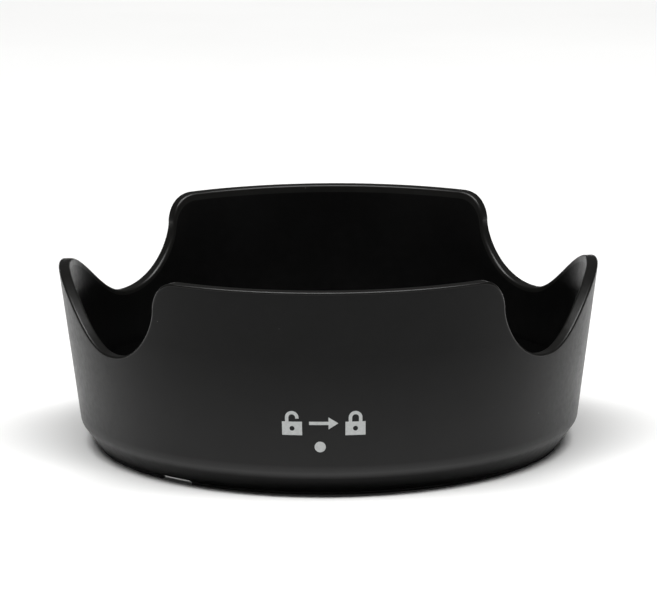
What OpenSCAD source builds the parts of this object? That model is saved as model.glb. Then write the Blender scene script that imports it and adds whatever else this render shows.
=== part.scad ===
// Petal lens hood with a bayonet foot.
// The optical axis is +Z, the petals point up and the foot rests on z = 0.
// The wide front petal faces -Y. All sizes are in millimetres.

/* [Shell] */
// Overall height, foot to petal tops
hood_h = 29.1; // [27:0.1:31]
// Outer radius of the wall at the petal tops
rim_r = 38.3; // [37.8:0.1:39]
// Half-angle of the conical wall, degrees
wall_angle = 7.35; // [6.5:0.05:8]
// Wall thickness at the petal tops
rim_t = 1.66; // [1.4:0.02:1.8]
// Height of the rounded corner above the foot
corner_z = 3.5; // [3.1:0.1:3.7]
// Outer radius of the rounded corner
corner_r = 35.0; // [34.8:0.1:35.2]
// Height of the shell's lower lip
lip_z = 0.35; // [0.2:0.05:0.5]

/* [Petals] */
// Height of the two side petals
side_h = 25.5; // [24.5:0.1:26.5]
// Height of the two valleys beside the front petal
front_valley_z = 16.8; // [15.5:0.05:18]
// Height of the two valleys beside the back petal
back_valley_z = 17.1; // [15.5:0.05:18]
// Angle of the valleys from the wide petals' centres, degrees
valley_a = 55; // [53:0.5:57]
// Half-width of the front petal at its flanks, degrees
front_flank_a = 39.2; // [38.5:0.1:40]
// Half-width of the back petal at its flanks, degrees
back_flank_a = 38.5; // [37.5:0.1:40]

/* [Bayonet foot] */
// Radius of the bore that registers on the lens
register_r = 31.9; // [31.85:0.05:31.95]
// Depth of the register bore
register_d = 1.6; // [1.4:0.1:1.8]
// Outer radius of the ring
ring_r = 32.5; // [32.45:0.05:32.6]
// Radius of the ring's inner wall above the register
track_r = 31.2; // [31.15:0.05:31.3]
// Height of the ring
ring_h = 7.4; // [7.3:0.1:7.6]
// Inner radius of the lugs
lug_r = 30.2; // [30:0.1:30.5]
// Thickness of a lug along the axis
lug_t = 1.3; // [1.1:0.1:1.5]
// Arc that each lug covers, degrees
lug_arc = 34; // [28:1:36]
// Inner radius of the ledge that the lens front meets
ledge_r = 30.3; // [30.2:0.1:30.6]

/* [Click arms] */
// Length of an arm from its root to its free end, degrees
arm_arc = 22; // [20:1:23]
// Radial thickness of an arm
arm_t = 0.8; // [0.6:0.05:0.85]
// Height of an arm along the axis
arm_h = 2.5; // [2.2:0.1:2.6]
// Radius of the click nib
nib_r = 0.8; // [0.6:0.05:0.9]

/* [Marks] */
// Diameter of the index dot
dot_d = 1.5; // [1.2:0.1:2.2]
// Height of the lock marks
mark_h = 3.4; // [2.8:0.1:3.6]
// Width of the row of lock marks
mark_w = 11.2; // [10:0.1:12]

/* [Hidden] */
$fn = 96;

black = [0.05, 0.05, 0.05];
ink_grey = [0.72, 0.73, 0.74];

// The bayonet repeats three times round the axis.
lug_centres = [270, 30, 150];

// Shell wall.
blend_z = 6.2;
corner_round = 1.6;
blend_round = 22;
chamfer_r = 32.7;
inner_corner_z = 4.6;
inner_corner_r = 33.65;
inner_lip_z = 1.95;
inner_rim_r = rim_r - rim_t;
inner_slope = (inner_rim_r - inner_corner_r) / (hood_h - inner_corner_z);

// The valley cuts start just above the petal tops and reach clear of them.
top_overlap = 0.02;
clear_h = 4;

// Relief notches in the foot.
notch_arc = 9.6;
notch_h = 0.6;
notch_lag = 40;

// Bayonet track and the stops at its end.
track_z = register_d + lug_t;
stop_arc = 2.5;
stop_r = 30.5;
lead_in = 0.7;

// Ledge above the ring.
ledge_in_z = 8.2;
ledge_out_z = 9.4;

// Click arms, in windows of the ring.
arm_lead = 27;
arm_mid_r = (ring_r + track_r) / 2;
knuckle_r = (ring_r - track_r) / 2;
knuckle_gap = 0.04;
arm_z = 4.05;
window_gap = 0.15;
window_end = 1.2;
nib_mid_r = 31.5;
nib_back = 1.6;

// Marks, printed as thin films on the front of the wall.
ink_t = 0.04;
dot_z = 7.4;
dot_a = -2;
marks_z = 10.75;
marks_a = -1.2;
stroke = 0.46;

// Outer radius of the conical wall at height z.
function wall_r(z) = rim_r - (hood_h - z) * tan(wall_angle);

// Inner radius of the wall at height z, above the corner.
function inner_r(z) = inner_corner_r + (z - inner_corner_z) * inner_slope;

// Unit vector of v.
function unit(v) = v / norm(v);

// Points of the arc that rounds corner q between p and s with radius r.
function round_corner(p, q, s, r, n = 6) =
    let (
        u = unit(p - q),
        v = unit(s - q),
        half = acos(u * v) / 2,
        centre = q + unit(u + v) * r / sin(half),
        a = q + u * r / tan(half) - centre,
        b = q + v * r / tan(half) - centre
    )
    [for (i = [0 : n]) centre + r * unit(a * (1 - i / n) + b * i / n)];

// Point at t on the cubic curve with end points a, d and handles b, c.
function cubic(a, b, c, d, t) =
    pow(1 - t, 3) * a + 3 * pow(1 - t, 2) * t * b + 3 * (1 - t) * t * t * c + pow(t, 3) * d;

// Points of that curve, from its start up to just before its end.
function cubic_run(a, b, c, d, n) = [for (i = [0 : n - 1]) cubic(a, b, c, d, i / n)];

// Rim of a quarter of the shell, as [angle from the wide petal's centre, height],
// for a wide petal whose flank stands at angle f, over a valley at height low.
function rim_curve(f, low) =
    let (
        top = [f - 6.7, hood_h + top_overlap],
        flank = [f, low + 8.1],
        valley = [valley_a, low],
        peak = [90, side_h]
    )
    concat(
        cubic_run(top, [f - 1.1, hood_h], [f, low + 8.5], flank, 12),
        cubic_run(flank, [f + 0.2, low + 6.3], [f + 4.3, low], valley, 14),
        cubic_run(valley, [66.7, low], [71.6, side_h], peak, 16),
        [peak]
    );

// Profile of the shell's wall as [radius, height].
module wall_profile() {
    lip = [chamfer_r, lip_z];
    corner = [corner_r, corner_z];
    blend = [wall_r(blend_z), blend_z];
    rim = [rim_r, hood_h];
    polygon(concat(
        [[ring_r, lip_z], lip],
        round_corner(lip, corner, blend, corner_round),
        round_corner(corner, blend, rim, blend_round, 3),
        [
            rim,
            [inner_rim_r, hood_h],
            [inner_corner_r, inner_corner_z],
            [ring_r, inner_lip_z]
        ]
    ));
}

// Prism that clears the wall above the rim between two petals, for a wide
// petal whose flank stands at angle f and a valley at height low. It is laid
// out looking along the valley's own radius, and its end past the side
// petal's peak rises clear.
module valley_cut(f, low) {
    curve = rim_curve(f, low);
    outline = [for (p = curve) [wall_r(p[1]) * sin(p[0] - valley_a), p[1]]];
    start_x = outline[0][0];
    peak_x = outline[len(outline) - 1][0];
    rotate([90, 0, valley_a])
        linear_extrude(height = 50)
            polygon(concat(
                [[start_x, hood_h + clear_h]],
                outline,
                [[peak_x + clear_h / 4, hood_h + clear_h]]
            ));
}

// Part of a ring between two radii and two heights, from angle a over arc w.
module sector(r_in, r_out, z_low, z_high, a, w) {
    rotate([0, 0, a])
        rotate_extrude(angle = w)
            translate([r_in, z_low])
                square([r_out - r_in, z_high - z_low]);
}

// Relief notches through the foot.
module foot_notches() {
    for (c = lug_centres)
        sector(
            register_r - 2, chamfer_r + 2, -1, notch_h,
            c - notch_lag - notch_arc / 2, notch_arc
        );
}

module petal_shell() {
    color(black)
        difference() {
            rotate_extrude()
                wall_profile();
            for (side = [0, 1])
                mirror([side, 0, 0]) {
                    valley_cut(front_flank_a, front_valley_z);
                    mirror([0, 1, 0])
                        valley_cut(back_flank_a, back_valley_z);
                }
            foot_notches();
        }
}

// Window for one click arm, with the round seat of its root.
module arm_window(c) {
    z_low = arm_z - window_gap;
    z_high = arm_z + arm_h + window_gap;
    a = c + arm_lead;
    sector(track_r - 1, ring_r + 0.6, z_low, z_high, a, arm_arc + window_end);
    rotate([0, 0, a])
        translate([arm_mid_r, 0, z_low])
            cylinder(r = knuckle_r + knuckle_gap, h = z_high - z_low);
}

module mount_ring() {
    color(black)
        difference() {
            cylinder(r = ring_r, h = ring_h);
            translate([0, 0, -1])
                cylinder(r = track_r, h = ring_h + 2);
            translate([0, 0, -1])
                cylinder(r = register_r, h = register_d + 1);
            for (c = lug_centres)
                arm_window(c);
            foot_notches();
        }
}

// Ledge that the lens front meets, with a top that slopes up to the wall.
module lens_stop_ledge() {
    color(black)
        rotate_extrude()
            polygon([
                [ledge_r, ring_h],
                [inner_r(ring_h), ring_h],
                [inner_r(ledge_out_z), ledge_out_z],
                [ledge_r, ledge_in_z]
            ]);
}

// Lug centred on angle c, with a bevel at the end that enters the lens first.
module bayonet_lug(c) {
    first = c - lug_arc / 2;
    color(black)
        difference() {
            sector(lug_r, track_r, register_d, track_z, first, lug_arc);
            rotate([0, 0, first])
                translate([lug_r - 1, 0, track_z])
                    rotate([20, 0, 0])
                        translate([0, -3, -lead_in])
                            cube([4, 3, 3]);
        }
}

// Rib across the track that ends the turn at the far end of a lug.
module turn_stop(c) {
    color(black)
        sector(stop_r, track_r, track_z, ring_h, c + lug_arc / 2 - stop_arc, stop_arc);
}

// Springy arm with a nib, which swings outward about the round root.
module click_arm(c) {
    band_in = arm_mid_r - arm_t / 2;
    band_out = arm_mid_r + arm_t / 2;
    color(black)
        rotate([0, 0, c + arm_lead]) {
            sector(band_in, band_out, arm_z, arm_z + arm_h, 0, arm_arc);
            translate([arm_mid_r, 0, arm_z])
                cylinder(r = knuckle_r, h = arm_h);
            intersection() {
                sector(
                    track_r - 1, band_out, arm_z, arm_z + arm_h,
                    arm_arc - 2 * nib_back, 2 * nib_back
                );
                rotate([0, 0, arm_arc - nib_back])
                    translate([nib_mid_r, 0, arm_z])
                        cylinder(r = nib_r, h = arm_h);
            }
        }
}

// Lays the flat shape of its children on the front of the wall as a film,
// turned to angle a and raised to height z.
module print_film(a, z) {
    reach = mark_h;
    color(ink_grey)
        intersection() {
            rotate_extrude()
                polygon([
                    [wall_r(z - reach), z - reach],
                    [wall_r(z - reach) + ink_t, z - reach],
                    [wall_r(z + reach) + ink_t, z + reach],
                    [wall_r(z + reach), z + reach]
                ]);
            rotate([0, 0, a])
                translate([0, 0, z])
                    rotate([90, 0, 0])
                        linear_extrude(height = rim_r + 5)
                            children();
        }
}

module index_dot() {
    print_film(dot_a, dot_z)
        circle(d = dot_d);
}

// Padlock outline: a body with a keyhole under a shackle raised by lift.
module padlock(lift) {
    body_w = 2.7;
    body_h = 0.56 * mark_h;
    bow_r = 0.92;
    leg = mark_h - body_h - bow_r;
    difference() {
        translate([-body_w / 2, -mark_h / 2])
            square([body_w, body_h]);
        translate([0, -mark_h / 2 + body_h / 2])
            circle(r = 0.34);
    }
    translate([0, -mark_h / 2 + body_h + leg]) {
        difference() {
            circle(r = bow_r);
            circle(r = bow_r - stroke);
            translate([-2, -4])
                square(4);
        }
        translate([-bow_r, -leg])
            square([stroke, leg]);
        translate([bow_r - stroke, lift - leg])
            square([stroke, leg - lift]);
    }
}

module unlocked_mark() {
    side = asin((mark_w / 2 - 1.35) / wall_r(marks_z));
    print_film(marks_a - side, marks_z)
        padlock(0.45);
}

module turn_arrow_mark() {
    shaft = 2.6;
    head_l = 1.3;
    head_w = 1.7;
    print_film(marks_a, marks_z)
        polygon([
            [-shaft / 2 - head_l / 2, -stroke / 2],
            [shaft / 2 - head_l / 2, -stroke / 2],
            [shaft / 2 - head_l / 2, -head_w / 2],
            [shaft / 2 + head_l / 2, 0],
            [shaft / 2 - head_l / 2, head_w / 2],
            [shaft / 2 - head_l / 2, stroke / 2],
            [-shaft / 2 - head_l / 2, stroke / 2]
        ]);
}

module locked_mark() {
    side = asin((mark_w / 2 - 1.35) / wall_r(marks_z));
    print_film(marks_a + side, marks_z)
        padlock(0);
}

petal_shell();
mount_ring();
lens_stop_ledge();
bayonet_lug(lug_centres[0]);  // bayonet_lug_1
bayonet_lug(lug_centres[1]);  // bayonet_lug_2
bayonet_lug(lug_centres[2]);  // bayonet_lug_3
turn_stop(lug_centres[0]);  // turn_stop_1
turn_stop(lug_centres[1]);  // turn_stop_2
turn_stop(lug_centres[2]);  // turn_stop_3
click_arm(lug_centres[0]);  // click_arm_1
click_arm(lug_centres[1]);  // click_arm_2
click_arm(lug_centres[2]);  // click_arm_3
index_dot();
unlocked_mark();
turn_arrow_mark();
locked_mark();
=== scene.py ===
import math

import bpy
from mathutils import Matrix, Vector


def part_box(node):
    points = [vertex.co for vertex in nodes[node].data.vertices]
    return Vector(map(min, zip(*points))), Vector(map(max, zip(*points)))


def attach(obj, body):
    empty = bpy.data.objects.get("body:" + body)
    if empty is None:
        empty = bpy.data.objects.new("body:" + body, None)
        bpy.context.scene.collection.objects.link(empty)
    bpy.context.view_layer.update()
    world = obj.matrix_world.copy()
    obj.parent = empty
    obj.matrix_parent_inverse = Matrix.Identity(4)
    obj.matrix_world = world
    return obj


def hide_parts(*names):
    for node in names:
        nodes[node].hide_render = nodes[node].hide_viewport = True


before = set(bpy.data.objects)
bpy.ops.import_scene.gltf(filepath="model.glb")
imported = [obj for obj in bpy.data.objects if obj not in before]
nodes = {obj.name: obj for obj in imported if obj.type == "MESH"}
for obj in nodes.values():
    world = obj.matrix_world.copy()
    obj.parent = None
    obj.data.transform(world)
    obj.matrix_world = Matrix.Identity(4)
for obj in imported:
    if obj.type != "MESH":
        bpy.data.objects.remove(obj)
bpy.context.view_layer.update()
scene = bpy.context.scene

MM = 0.001
ROOT_BODY = "hood"

# ---------------------------------------------------------------- sizes, mm
# The hood's outline, worked out from the frame where the frame can say it.
shell_low, shell_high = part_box("petal_shell")
ring_low, ring_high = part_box("mount_ring")
HOOD_H = shell_high[2] / MM
RIM_R = shell_high[1] / MM
LIP_Z = shell_low[2] / MM
RING_R = ring_high[0] / MM

WALL_ANGLE = math.radians(7.35)
RIM_T = 1.66
RIM_ROUND = 0.32
INNER_ROUND = 0.4
CORNER = (35.0, 3.5)
CORNER_ROUND = 1.6
BLEND_Z = 6.2
BLEND_ROUND = 22.0
CHAMFER_R = 32.7
INNER_CORNER = (33.65, 4.6)
INNER_LIP_Z = 1.95
SIDE_H = 25.5
FRONT_VALLEY_Z = 16.8
BACK_VALLEY_Z = 17.1
VALLEY_A = 55.0
FRONT_FLANK_A = 39.2
BACK_FLANK_A = 38.5
NOTCH_CENTRES = (-40.0, 80.0, 200.0)
NOTCH_ARC = 9.6
NOTCH_H = 0.6

# How the shell's mesh is stepped: rows of points up the wall, down the inside and round
# each rim edge, and how strongly the wall's rows crowd towards the rim.
WALL_STEPS = 9
INNER_STEPS = 9
FILLET_STEPS = 5
CROWDING = 1.6
# Share of the rim's sideways spacing that the rows at the foot keep.
FOOT_FOLLOWS_RIM = 0.6
# Width of the small bevel where the chamfer meets the lip, and height of the ring over a notch.
LIP_BEVEL = 0.12
OVER_NOTCH = 0.3

# Part of its 0 to 1 range in which most of a noise texture lies.
NOISE_LOW = 0.3
NOISE_HIGH = 0.7

# The camera's place in metres, its tilt down and its roll in degrees, and its lens.
CAMERA_AT = (0, -0.6393, 0.1602)
CAMERA_DOWN = 12.4
CAMERA_ROLL = -0.38
CAMERA_LENS = 255.1


# ------------------------------------------------------------ small geometry
def wall_r(z):
    """Outer radius of the conical wall at height z."""
    return RIM_R - (HOOD_H - z) * math.tan(WALL_ANGLE)


def cubic(a, b, c, d, count):
    """Points of a cubic curve from a up to just before d, with handles b and c."""
    points = []
    for i in range(count):
        t = i / count
        w = ((1 - t) ** 3, 3 * (1 - t) ** 2 * t, 3 * (1 - t) * t * t, t ** 3)
        points.append(
            tuple(w[0] * a[k] + w[1] * b[k] + w[2] * c[k] + w[3] * d[k] for k in (0, 1))
        )
    return points


def quarter_rim(flank_a, valley_z):
    """Rim from a wide petal's centre to just before a side petal's peak.

    It comes as (degrees, height) pairs.
    """
    start = (flank_a - 6.7, HOOD_H)
    flank = (flank_a, valley_z + 8.1)
    valley = (VALLEY_A, valley_z)
    peak = (90.0, SIDE_H)
    flat = [(start[0] * i / 40, HOOD_H) for i in range(40)]
    return (
        flat
        + cubic(start, (flank_a - 1.1, HOOD_H), (flank_a, valley_z + 8.5), flank, 26)
        + cubic(flank, (flank_a + 0.2, valley_z + 6.3), (flank_a + 4.3, valley_z), valley, 34)
        + cubic(valley, (66.7, valley_z), (71.6, SIDE_H), peak, 40)
    )


def whole_rim():
    """The closed rim, from the front petal's centre round by the right side.

    It comes as (degrees, height) pairs.
    """
    front = quarter_rim(FRONT_FLANK_A, FRONT_VALLEY_Z)
    back = quarter_rim(BACK_FLANK_A, BACK_VALLEY_Z)
    right = front + [(90.0, SIDE_H)] + [(180.0 - a, h) for a, h in reversed(back[1:])]
    left = [(360.0 - a, h) for a, h in reversed(right)]
    return right + [(180.0, HOOD_H)] + left[:-1]


def on_circle(r, degrees, z):
    """Point at radius r and height z.

    The angle counts from the front petal towards the right.
    """
    a = math.radians(degrees)
    return Vector((r * math.sin(a), -r * math.cos(a), z))


def round_corner(p, q, s, r, count):
    """Points of the arc that rounds the corner q between p and s."""
    p, q, s = Vector(p), Vector(q), Vector(s)
    u = (p - q).normalized()
    v = (s - q).normalized()
    half = u.angle(v) / 2
    centre = q + (u + v).normalized() * r / math.sin(half)
    a = q + u * r / math.tan(half) - centre
    b = q + v * r / math.tan(half) - centre
    return [centre + a.lerp(b, i / count).normalized() * r for i in range(count + 1)]


def new_piece(name, points, faces, body):
    """A smooth mesh piece from points in millimetres, riding on a body."""
    mesh = bpy.data.meshes.new(name)
    mesh.from_pydata([Vector(p) * MM for p in points], [], faces)
    mesh.validate()
    mesh.update()
    for f in mesh.polygons:
        f.use_smooth = True
    piece = bpy.data.objects.new(name, mesh)
    scene.collection.objects.link(piece)
    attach(piece, body)
    return piece


def closed_loops(columns):
    """Points and faces that join a ring of closed outlines with equally many points."""
    count = len(columns[0])
    points = [p for column in columns for p in column]
    faces = []
    for i in range(len(columns)):
        a = i * count
        b = ((i + 1) % len(columns)) * count
        for j in range(count):
            k = (j + 1) % count
            faces.append((a + j, b + j, b + k, a + k))
    return points, faces


# ------------------------------------------------------------------ materials
class Nodes:
    """Short names for building one material's node tree."""

    def __init__(self, name):
        self.material = bpy.data.materials.new(name)
        self.material.use_nodes = True
        self.tree = self.material.node_tree
        self.shader = self.tree.nodes["Principled BSDF"]

    def add(self, kind, **values):
        node = self.tree.nodes.new(kind)
        for key, value in values.items():
            if key in node.inputs:
                node.inputs[key].default_value = value
            else:
                setattr(node, key, value)
        return node

    def link(self, a, b):
        self.tree.links.new(a, b)

    def noise(self, size_mm, detail=3.0, roughness=0.55):
        """Noise whose features are about size_mm across, in object space."""
        place = self.add("ShaderNodeTexCoord")
        noise = self.add("ShaderNodeTexNoise")
        noise.inputs["Scale"].default_value = 1 / (size_mm * MM)
        noise.inputs["Detail"].default_value = detail
        noise.inputs["Roughness"].default_value = roughness
        self.link(place.outputs["Object"], noise.inputs["Vector"])
        return noise.outputs["Fac"]

    def span(self, source, low, high, from_low=NOISE_LOW, from_high=NOISE_HIGH):
        """source remapped from from_low..from_high to low..high."""
        remap = self.add("ShaderNodeMapRange")
        remap.inputs["From Min"].default_value = from_low
        remap.inputs["From Max"].default_value = from_high
        remap.inputs["To Min"].default_value = low
        remap.inputs["To Max"].default_value = high
        self.link(source, remap.inputs["Value"])
        return remap.outputs["Result"]

    def levels(self, source, stops):
        """A level that follows source, a height in metres.

        stops is (height in mm, level) pairs.
        """
        top = stops[-1][0]
        ramp = self.add("ShaderNodeValToRGB")
        for _ in stops[2:]:
            ramp.color_ramp.elements.new(0.5)
        for element, (_, level) in zip(ramp.color_ramp.elements, stops):
            element.color = (level, level, level, 1)
        for element, (height, _) in zip(ramp.color_ramp.elements, stops):
            element.position = height / top
        self.link(self.span(source, 0.0, 1.0, 0.0, top * MM), ramp.inputs["Fac"])
        return ramp.outputs["Color"]

    def blend(self, source, dark, light):
        """A colour between dark and light by source."""
        ramp = self.add("ShaderNodeValToRGB")
        ramp.color_ramp.elements[0].color = (*dark, 1)
        ramp.color_ramp.elements[1].color = (*light, 1)
        ramp.color_ramp.elements[0].position = NOISE_LOW
        ramp.color_ramp.elements[1].position = NOISE_HIGH
        self.link(source, ramp.inputs["Fac"])
        return ramp.outputs["Color"]

    def bump(self, source, height_mm, after=None):
        """A bump of height_mm by source, on top of the bump called after."""
        bump = self.add("ShaderNodeBump")
        bump.inputs["Distance"].default_value = height_mm * MM
        bump.inputs["Strength"].default_value = 1.0
        self.link(source, bump.inputs["Height"])
        if after is not None:
            self.link(after, bump.inputs["Normal"])
        return bump.outputs["Normal"]


def moulded_plastic(name, dark, light, rough, specular, grain_mm, grain_h_mm, painted_sheen=None):
    """Black plastic from a spark-eroded mould: fine grain, faint mottling, dust specks.

    dark and light are the base grey's two ends, and rough is the two ends of the
    roughness. The last argument gives (height in mm, added greyness) pairs from the foot to the
    petals: a painted highlight and sheen.
    """
    n = Nodes(name)
    mottle = n.noise(4.0)
    colour = n.blend(mottle, dark, light)
    place = n.add("ShaderNodeTexCoord")
    # Painted highlight and sheen: greyness added to the base colour by height.
    if painted_sheen is not None:
        height = n.add("ShaderNodeSeparateXYZ")
        n.link(place.outputs["Object"], height.inputs["Vector"])
        total = n.add("ShaderNodeMix", data_type="RGBA", blend_type="ADD")
        total.inputs[0].default_value = 1.0
        n.link(colour, total.inputs[6])
        n.link(n.levels(height.outputs["Z"], painted_sheen), total.inputs[7])
        colour = total.outputs[2]
    cells = n.add("ShaderNodeTexVoronoi")
    cells.inputs["Scale"].default_value = 1 / (3.2 * MM)
    n.link(place.outputs["Object"], cells.inputs["Vector"])
    speck = n.span(cells.outputs["Distance"], 1.0, 0.0, 0.016, 0.03)
    rare = n.add("ShaderNodeMath", operation="GREATER_THAN")
    rare.inputs[1].default_value = 0.8
    split = n.add("ShaderNodeSeparateColor")
    n.link(cells.outputs["Color"], split.inputs["Color"])
    n.link(split.outputs["Red"], rare.inputs[0])
    dust = n.add("ShaderNodeMath", operation="MULTIPLY")
    n.link(speck, dust.inputs[0])
    n.link(rare.outputs[0], dust.inputs[1])
    mix = n.add("ShaderNodeMix", data_type="RGBA")
    mix.inputs[7].default_value = (0.09, 0.09, 0.088, 1)
    n.link(dust.outputs[0], mix.inputs[0])
    n.link(colour, mix.inputs[6])
    n.link(mix.outputs[2], n.shader.inputs["Base Color"])
    n.link(n.span(n.noise(0.9), *rough), n.shader.inputs["Roughness"])
    n.shader.inputs["Specular IOR Level"].default_value = specular
    grain = n.bump(n.noise(grain_mm, 2.0), grain_h_mm)
    wave = n.bump(n.noise(9.0, 1.0), 0.004, after=grain)
    n.link(wave, n.shader.inputs["Normal"])
    return n.material


def printed_ink(name):
    """Pad-printed light grey ink, a little uneven."""
    n = Nodes(name)
    colour = n.blend(n.noise(0.35), (0.50, 0.515, 0.51), (0.58, 0.595, 0.59))
    n.link(colour, n.shader.inputs["Base Color"])
    n.link(n.span(n.noise(0.2), 0.45, 0.6), n.shader.inputs["Roughness"])
    n.shader.inputs["Specular IOR Level"].default_value = 0.3
    n.link(n.bump(n.noise(0.15, 2.0), 0.003), n.shader.inputs["Normal"])
    return n.material


# Painted highlight and sheen on the outside wall: greyness added to the base colour by height,
# strongest at the rounded corner above the foot and fading towards the petals, standing in for
# reflected floor light.
PAINTED_SHEEN = ((0.0, 0.0), (2.6, 0.0), (3.5, 0.042), (4.7, 0.014), (9.0, 0.011), (20.0, 0.0))
outer_plastic = moulded_plastic(
    "outer_plastic",
    dark=(0.0022, 0.0022, 0.0022),
    light=(0.0032, 0.0032, 0.0032),
    rough=(0.32, 0.40),
    specular=0.14,
    grain_mm=0.09,
    grain_h_mm=0.0035,
    painted_sheen=PAINTED_SHEEN,
)
# Darker copy of the same plastic for the inside of the shell: painted shade for the dim
# interior.
shaded_inner_plastic = moulded_plastic(
    "shaded_inner_plastic",
    dark=(0.0012, 0.0012, 0.0012),
    light=(0.0018, 0.0018, 0.0018),
    rough=(0.30, 0.38),
    specular=0.14,
    grain_mm=0.12,
    grain_h_mm=0.003,
)
# Lighter, slightly warm copy of the same plastic for the rim edges: painted light where the
# overhead light falls on the rim.
lit_rim_plastic = moulded_plastic(
    "lit_rim_plastic",
    dark=(0.0045, 0.0044, 0.0040),
    light=(0.0065, 0.0063, 0.0058),
    rough=(0.30, 0.38),
    specular=0.30,
    grain_mm=0.07,
    grain_h_mm=0.002,
)
foot_plastic = moulded_plastic(
    "foot_plastic",
    dark=(0.0028, 0.0028, 0.0028),
    light=(0.0040, 0.0040, 0.0040),
    rough=(0.38, 0.50),
    specular=0.20,
    grain_mm=0.10,
    grain_h_mm=0.004,
)
# Near-black copy of the plastic for the lens stop ledge: painted shade deep inside the hood.
shaded_stop_plastic = moulded_plastic(
    "shaded_stop_plastic",
    dark=(0.0004, 0.0004, 0.0004),
    light=(0.0006, 0.0006, 0.0006),
    rough=(0.55, 0.65),
    specular=0.03,
    grain_mm=0.12,
    grain_h_mm=0.004,
)
ink = printed_ink("print_ink")


# ---------------------------------------------------------------- petal shell
def outer_foot():
    """Outer outline from the lip up to the wall, as (radius, height)."""
    lip = (CHAMFER_R, LIP_Z)
    blend = (wall_r(BLEND_Z), BLEND_Z)
    rim = (RIM_R, HOOD_H)
    lower = round_corner(lip, CORNER, blend, CORNER_ROUND, 10)
    upper = round_corner(CORNER, blend, rim, BLEND_ROUND, 5)
    return lower, upper


def chamfer_point(z):
    """Point of the chamfer at height z."""
    lower, _ = outer_foot()
    t = (z - LIP_Z) / (lower[0][1] - LIP_Z)
    return (CHAMFER_R + t * (lower[0][0] - CHAMFER_R), z)


def inner_r(z):
    """Inner radius of the wall at height z, above its corner."""
    slope = (RIM_R - RIM_T - INNER_CORNER[0]) / (HOOD_H - INNER_CORNER[1])
    return INNER_CORNER[0] + (z - INNER_CORNER[1]) * slope


def in_notch(degrees):
    """True where the foot has a relief notch."""
    for centre in NOTCH_CENTRES:
        off = (degrees - centre + 180) % 360 - 180
        if abs(off) < NOTCH_ARC / 2:
            return True
    return False


def polar(p):
    """(radius, degrees from the front petal, height) of a point."""
    return math.hypot(p.x, p.y), math.degrees(math.atan2(p.x, -p.y)), p.z


def near(degrees, reference):
    """degrees shifted by whole turns to lie next to reference."""
    return degrees + 360 * round((reference - degrees) / 360)


def shell_piece():
    """The petal shell, with rounded rim edges that follow the petals."""
    rim = whole_rim()
    count = len(rim)
    edge = [on_circle(wall_r(h), a, h) for a, h in rim]
    lower, upper = outer_foot()
    slope_in = math.atan2(RIM_R - RIM_T - INNER_CORNER[0], HOOD_H - INNER_CORNER[1])
    columns = []
    for i, (a, h) in enumerate(rim):
        along = (edge[(i + 1) % count] - edge[i - 1]).normalized()
        radial = on_circle(1, a, 0)
        out = radial * math.cos(WALL_ANGLE) - Vector((0, 0, math.sin(WALL_ANGLE)))
        up = radial.cross(along).normalized()
        if up.z < 0 and abs(up.z) > 0.02:
            up = -up
        inward = -(radial * math.cos(slope_in) - Vector((0, 0, math.sin(slope_in))))
        base_a = 360 * i / count
        base_a += FOOT_FOLLOWS_RIM * (near(a, base_a) - base_a)
        column = []
        lip_z = NOTCH_H if in_notch(base_a) else LIP_Z
        column.append(on_circle(RING_R, base_a, lip_z))
        r, z = chamfer_point(lip_z + 0.001)
        column.append(on_circle(r - LIP_BEVEL, base_a, z))
        r, z = chamfer_point(lip_z + LIP_BEVEL)
        column.append(on_circle(r, base_a, z))
        r, z = chamfer_point(NOTCH_H + OVER_NOTCH)
        column.append(on_circle(r, base_a, z))
        foot = list(lower) + list(upper)
        for r, z in foot:
            column.append(on_circle(r, base_a, z))
        across = RIM_ROUND * (math.tan(WALL_ANGLE) + 1 / math.cos(WALL_ANGLE))
        centre = edge[i] - up * RIM_ROUND - radial * across
        _, end_a, end_z = polar(centre + out * RIM_ROUND)
        end_a = near(end_a, base_a)
        foot_z = foot[-1][1]
        for k in range(1, WALL_STEPS + 1):
            t = k / WALL_STEPS
            t = 1 - (1 - t) ** CROWDING
            z = foot_z + (end_z - foot_z) * t
            column.append(on_circle(wall_r(z), base_a + (end_a - base_a) * t, z))
        for k in range(1, FILLET_STEPS + 1):
            column.append(centre + out.lerp(up, k / FILLET_STEPS).normalized() * RIM_ROUND)
        across = INNER_ROUND * (1 / math.cos(slope_in) - math.tan(slope_in))
        centre = edge[i] - radial * (wall_r(h) - inner_r(h) - across) - up * INNER_ROUND
        for k in range(0, FILLET_STEPS + 1):
            column.append(centre + up.lerp(inward, k / FILLET_STEPS).normalized() * INNER_ROUND)
        top_r, in_a, in_z = polar(column[-1])
        in_a = near(in_a, base_a)
        for k in range(1, INNER_STEPS + 1):
            t = (k / INNER_STEPS) ** CROWDING
            z = in_z + (INNER_CORNER[1] - in_z) * t
            r = top_r + (INNER_CORNER[0] - top_r) * t
            column.append(on_circle(r, in_a + (base_a - in_a) * t, z))
        column.append(on_circle(RING_R, base_a, INNER_LIP_Z))
        columns.append(column)
    points, faces = closed_loops(columns)
    piece = new_piece("hood_shell", points, faces, ROOT_BODY)
    per = len(columns[0])
    outer_last = 4 + len(lower) + len(upper) + WALL_STEPS
    rim_last = outer_last + 2 * FILLET_STEPS + 1
    for m in (outer_plastic, shaded_inner_plastic, lit_rim_plastic):
        piece.data.materials.append(m)
    for index, face in enumerate(piece.data.polygons):
        j = index % per
        if j < outer_last - 1:
            face.material_index = 0
        elif j < rim_last:
            face.material_index = 2
        else:
            face.material_index = 1
    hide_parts("petal_shell")


shell_piece()


# ------------------------------------------------------- pieces kept from CAD
def finish_node(name, material):
    """Gives a CAD node its material."""
    node = nodes[name]
    node.data.materials.clear()
    node.data.materials.append(material)


for name in nodes:
    if name.endswith("_mark") or name == "index_dot":
        finish_node(name, ink)
    elif name == "lens_stop_ledge":
        finish_node(name, shaded_stop_plastic)
    elif name != "petal_shell":
        finish_node(name, foot_plastic)


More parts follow.
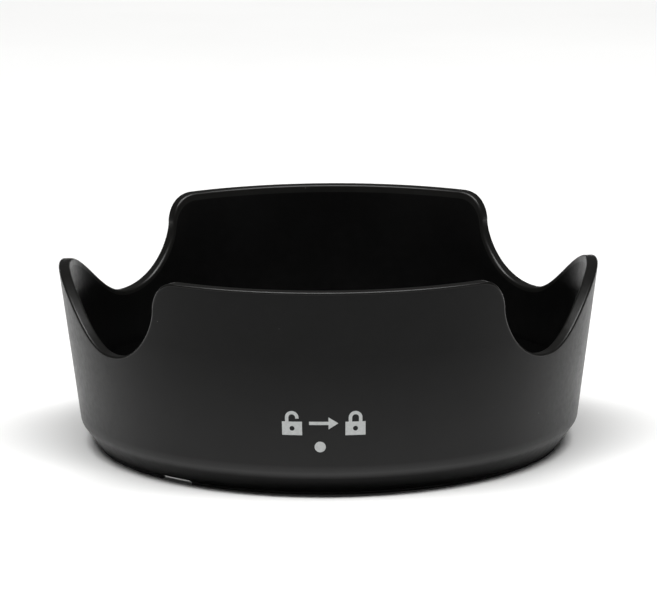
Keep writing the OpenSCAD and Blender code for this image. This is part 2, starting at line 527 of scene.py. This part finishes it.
# ------------------------------------------------------------ floor and light
def floor():
    """A wide pale floor."""
    n = Nodes("pale_floor")
    colour = n.blend(n.noise(60.0), (0.90, 0.90, 0.893), (0.92, 0.92, 0.913))
    n.link(colour, n.shader.inputs["Base Color"])
    n.shader.inputs["Roughness"].default_value = 0.8
    n.shader.inputs["Specular IOR Level"].default_value = 0.1
    half = 6.0
    mesh = bpy.data.meshes.new("floor")
    corners = [(-half, -half, 0), (half, -half, 0), (half, half, 0), (-half, half, 0)]
    mesh.from_pydata(corners, [], [(0, 1, 2, 3)])
    plane = bpy.data.objects.new("floor", mesh)
    plane.data.materials.append(n.material)
    scene.collection.objects.link(plane)


def softbox(name, place, target, width, height, power, spread=180):
    """A soft rectangular light at place that faces target, within spread degrees."""
    data = bpy.data.lights.new(name, "AREA")
    data.shape = "RECTANGLE"
    data.size = width
    data.size_y = height
    data.energy = power
    data.spread = math.radians(spread)
    light = bpy.data.objects.new(name, data)
    light.location = place
    aim = Vector(target) - Vector(place)
    light.rotation_euler = aim.to_track_quat("-Z", "Y").to_euler()
    scene.collection.objects.link(light)


def surroundings(level):
    """Plain soft light from all round."""
    world = bpy.data.worlds.new("studio")
    world.use_nodes = True
    back = world.node_tree.nodes["Background"]
    back.inputs["Color"].default_value = (1, 1, 0.995, 1)
    back.inputs["Strength"].default_value = level
    scene.world = world


floor()
surroundings(0.06)
softbox(
    "overhead",
    place=(0, -0.17, 1.0),
    target=(0, 0.3, 0),
    width=1.3,
    height=0.38,
    power=18.0,
)
softbox(
    "backdrop",
    place=(0, 0.95, 0.9),
    target=(0, 0.95, 0),
    width=2.0,
    height=0.4,
    power=14.0,
    spread=50,
)


# --------------------------------------------------------------------- camera
def photo_camera():
    """A long lens from in front and a little above, with a slight roll."""
    data = bpy.data.cameras.new("camera")
    data.sensor_width = 36.0
    data.lens = CAMERA_LENS
    data.clip_end = 50
    camera = bpy.data.objects.new("camera", data)
    tilt = Matrix.Rotation(math.radians(90 - CAMERA_DOWN), 4, "X")
    roll = Matrix.Rotation(math.radians(CAMERA_ROLL), 4, "Z")
    camera.matrix_world = Matrix.Translation(CAMERA_AT) @ tilt @ roll
    scene.collection.objects.link(camera)
    scene.camera = camera


photo_camera()
scene.view_settings.view_transform = "Standard"
